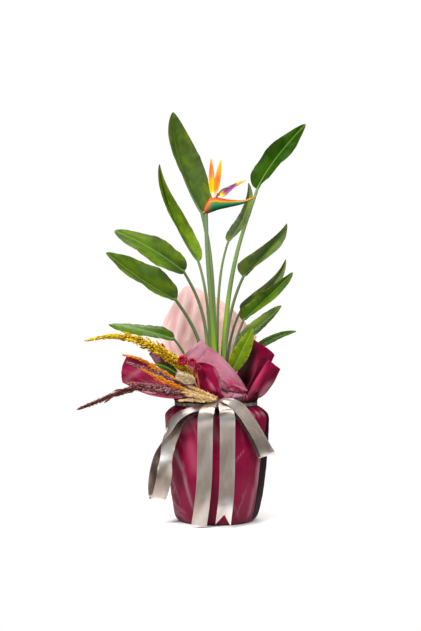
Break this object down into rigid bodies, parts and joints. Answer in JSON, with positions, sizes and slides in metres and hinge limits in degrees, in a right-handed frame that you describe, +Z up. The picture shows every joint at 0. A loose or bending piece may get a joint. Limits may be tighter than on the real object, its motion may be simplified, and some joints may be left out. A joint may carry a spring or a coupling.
{
  "type": "gift-wrapped potted bird of paradise plant",
  "caption": "Bird of paradise in a round pot wrapped in burgundy film, with a satin ribbon bow and a spray of dried grasses at the neck.",
  "frame": {"origin": "centre of the wrapped pot's flat underside", "axes": "+Z up along the plant, -Y towards the front with the bow, +X to the viewer's right"},
  "size_m": [0.5772, 0.3446, 1.0592],
  "materials": {
    "nursery_pot": "moulded black plant pot",
    "soil": "dark crumbly potting soil",
    "leaf": "waxy green blade, paler under side",
    "young_leaf": "young yellow-green blade",
    "spathe": "green beak with an orange-red upper edge",
    "sepals": "orange sepals, yellow towards the base",
    "petal": "violet petal with a yellow tip",
    "burgundy_film": "satin burgundy wrapping film",
    "mauve_film": "dusty rose side of the wrapping film",
    "pink_paper": "pale pink wrapping sheet",
    "ribbon": "silver-taupe satin ribbon",
    "yellow_grass": "dyed yellow dried plume",
    "orange_grass": "dyed orange dried plume",
    "mauve_grass": "mauve-brown dried plume",
    "brown_grass": "dark brown dried plume",
    "cream_grass": "bleached dried grass",
    "pods": "dyed red dried pods",
    "spray_leaf": "dark green preserved leaf",
    "tape": "green florist's tape"
  },
  "bodies": {
    "root": {"nursery_pot": "nursery_pot", "soil": "soil", "leaf_tall_left": "leaf", "leaf_narrow_left": "leaf", "leaf_upper_left": "leaf", "leaf_lower_left": "leaf", "leaf_low_left": "leaf", "leaf_tall_right": "leaf", "leaf_behind_flower": "leaf", "leaf_right_upper": "leaf", "leaf_right_back": "leaf", "leaf_right_middle": "leaf", "leaf_right_low": "leaf", "leaf_far_right": "leaf", "leaf_young_front": "young_leaf", "flower_stalk_and_spathe": "spathe", "flower_sepals": "sepals", "flower_arrow_petal": "petal", "wrap_burgundy_sheet": "burgundy_film", "wrap_front_sheet": "mauve_film", "wrap_pink_sheet": "pink_paper", "ribbon_band": "ribbon", "ribbon_bow": "ribbon", "spray_yellow_plume": "yellow_grass", "spray_orange_plume_upper": "orange_grass", "spray_orange_plume_lower": "orange_grass", "spray_mauve_plume": "mauve_grass", "spray_brown_plume": "brown_grass", "spray_rust_plume": "mauve_grass", "spray_hares_tail": "cream_grass", "spray_cream_heads": "cream_grass", "spray_pods": "pods", "spray_leaf": "spray_leaf", "spray_tie": "tape"}
  },
  "joints": []
}
